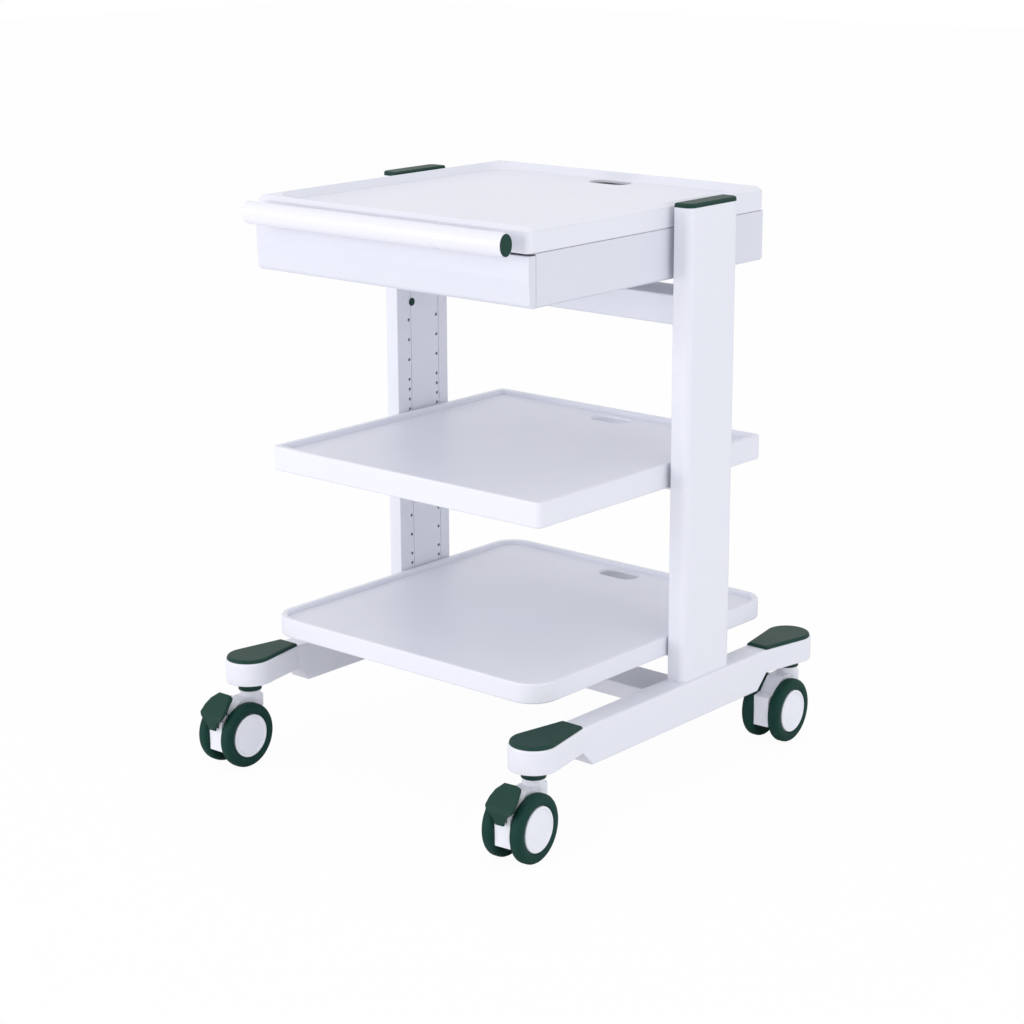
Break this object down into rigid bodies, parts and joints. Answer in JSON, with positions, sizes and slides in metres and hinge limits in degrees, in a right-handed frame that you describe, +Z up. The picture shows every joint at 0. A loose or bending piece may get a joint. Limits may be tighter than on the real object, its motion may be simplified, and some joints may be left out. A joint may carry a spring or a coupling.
{
  "type": "instrument cart",
  "caption": "Wheeled clinic cart with columns on castered feet, a lower and a middle shelf, a worktop tray over a drawer, and a pull bar.",
  "frame": {"origin": "on the floor, under the middle of the whole cart's bounding box", "axes": "+Z up; -Y towards the user at the pull bar and the drawer's front; +X to that user's right"},
  "size_m": [0.6494, 0.7428, 0.8695],
  "materials": {
    "frame_white": "smooth semi-gloss white paint",
    "shelf_white": "smooth white moulded plastic",
    "drawer_white": "smooth semi-gloss white paint",
    "bar_white": "smooth white paint",
    "cap_dark": "dark green-black moulded plastic",
    "caster_white": "white moulded plastic",
    "tyre_dark": "dark green-black tread",
    "steel": "zinc-plated steel"
  },
  "bodies": {
    "frame": {"foot_left": "frame_white", "foot_right": "frame_white", "foot_crossbar": "frame_white", "column_left": "frame_white", "column_right": "frame_white", "upper_crossbar": "frame_white", "middle_shelf": "shelf_white", "lower_shelf": "shelf_white", "worktop_tray": "shelf_white", "drawer_housing": "drawer_white", "handle_tube": "bar_white", "handle_mounts": "bar_white", "foot_cap_front_left": "cap_dark", "foot_cap_front_right": "cap_dark", "foot_cap_rear_left": "cap_dark", "foot_cap_rear_right": "cap_dark", "column_cap_left": "cap_dark", "column_cap_right": "cap_dark", "handle_plugs": "cap_dark", "stem_collars": "cap_dark", "middle_shelf_brackets": "steel", "lower_shelf_brackets": "steel", "housing_brackets": "steel", "frame_bolts": "steel", "shelf_screws": "steel", "tray_screws": "steel", "runner_outers": "steel", "caster_stems": "steel"},
    "drawer": {"drawer_front": "drawer_white", "drawer_tray": "drawer_white", "runner_inners": "steel"},
    "runner_middles": {"runner_middles": "steel"},
    "caster_front_left": {"caster_head_front_left": "caster_white", "axle_front_left": "steel"},
    "wheel_front_left_l": {"tyre_front_left_l": "tyre_dark", "hub_front_left_l": "caster_white"},
    "wheel_front_left_r": {"tyre_front_left_r": "tyre_dark", "hub_front_left_r": "caster_white"},
    "pedal_front_left": {"brake_pedal_front_left": "cap_dark"},
    "caster_front_right": {"caster_head_front_right": "caster_white", "axle_front_right": "steel"},
    "wheel_front_right_l": {"tyre_front_right_l": "tyre_dark", "hub_front_right_l": "caster_white"},
    "wheel_front_right_r": {"tyre_front_right_r": "tyre_dark", "hub_front_right_r": "caster_white"},
    "pedal_front_right": {"brake_pedal_front_right": "cap_dark"},
    "caster_rear_left": {"caster_head_rear_left": "caster_white", "axle_rear_left": "steel"},
    "wheel_rear_left_l": {"tyre_rear_left_l": "tyre_dark", "hub_rear_left_l": "caster_white"},
    "wheel_rear_left_r": {"tyre_rear_left_r": "tyre_dark", "hub_rear_left_r": "caster_white"},
    "caster_rear_right": {"caster_head_rear_right": "caster_white", "axle_rear_right": "steel"},
    "wheel_rear_right_l": {"tyre_rear_right_l": "tyre_dark", "hub_rear_right_l": "caster_white"},
    "wheel_rear_right_r": {"tyre_rear_right_r": "tyre_dark", "hub_rear_right_r": "caster_white"}
  },
  "joints": [
    {"name": "drawer_slide", "type": "slide", "parent": "frame", "child": "drawer", "axis": [0, -1, 0], "range_m": [0, 0.38]},
    {"name": "runner_middle_slide", "type": "slide", "parent": "frame", "child": "runner_middles", "axis": [0, -1, 0], "range_m": [0, 0.19]},
    {"name": "swivel_front_left", "type": "hinge", "parent": "frame", "child": "caster_front_left", "pos_m": [-0.284, -0.2846, 0.105], "axis": [0, 0, 1], "continuous": true},
    {"name": "wheel_spin_front_left_l", "type": "hinge", "parent": "caster_front_left", "child": "wheel_front_left_l", "pos_m": [-0.28314, -0.31759, 0.05], "axis": [0.9997, 0.0262, 0], "continuous": true},
    {"name": "wheel_spin_front_left_r", "type": "hinge", "parent": "caster_front_left", "child": "wheel_front_left_r", "pos_m": [-0.28314, -0.31759, 0.05], "axis": [0.9997, 0.0262, 0], "continuous": true},
    {"name": "brake_front_left", "type": "hinge", "parent": "caster_front_left", "child": "pedal_front_left", "pos_m": [-0.28234, -0.34798, 0.08041], "axis": [0.9997, 0.0262, 0], "range_deg": [0, 8]},
    {"name": "swivel_front_right", "type": "hinge", "parent": "frame", "child": "caster_front_right", "pos_m": [0.284, -0.2846, 0.105], "axis": [0, 0, 1], "continuous": true},
    {"name": "wheel_spin_front_right_l", "type": "hinge", "parent": "caster_front_right", "child": "wheel_front_right_l", "pos_m": [0.28716, -0.31745, 0.05], "axis": [0.9954, 0.0958, 0], "continuous": true},
    {"name": "wheel_spin_front_right_r", "type": "hinge", "parent": "caster_front_right", "child": "wheel_front_right_r", "pos_m": [0.28716, -0.31745, 0.05], "axis": [0.9954, 0.0958, 0], "continuous": true},
    {"name": "brake_front_right", "type": "hinge", "parent": "caster_front_right", "child": "pedal_front_right", "pos_m": [0.29008, -0.34771, 0.08041], "axis": [0.9954, 0.0958, 0], "range_deg": [0, 8]},
    {"name": "swivel_rear_left", "type": "hinge", "parent": "frame", "child": "caster_rear_left", "pos_m": [-0.284, 0.3354, 0.105], "axis": [0, 0, 1], "continuous": true},
    {"name": "wheel_spin_rear_left_l", "type": "hinge", "parent": "caster_rear_left", "child": "wheel_rear_left_l", "pos_m": [-0.28716, 0.30255, 0.05], "axis": [0.9954, -0.0958, 0], "continuous": true},
    {"name": "wheel_spin_rear_left_r", "type": "hinge", "parent": "caster_rear_left", "child": "wheel_rear_left_r", "pos_m": [-0.28716, 0.30255, 0.05], "axis": [0.9954, -0.0958, 0], "continuous": true},
    {"name": "swivel_rear_right", "type": "hinge", "parent": "frame", "child": "caster_rear_right", "pos_m": [0.284, 0.3354, 0.105], "axis": [0, 0, 1], "continuous": true},
    {"name": "wheel_spin_rear_right_l", "type": "hinge", "parent": "caster_rear_right", "child": "wheel_rear_right_l", "pos_m": [0.28601, 0.30246, 0.05], "axis": [0.9981, 0.061, 0], "continuous": true},
    {"name": "wheel_spin_rear_right_r", "type": "hinge", "parent": "caster_rear_right", "child": "wheel_rear_right_r", "pos_m": [0.28601, 0.30246, 0.05], "axis": [0.9981, 0.061, 0], "continuous": true}
  ],
  "couplings": [
    {"joint": "runner_middle_slide", "follows": "drawer_slide", "ratio": 0.5}
  ]
}
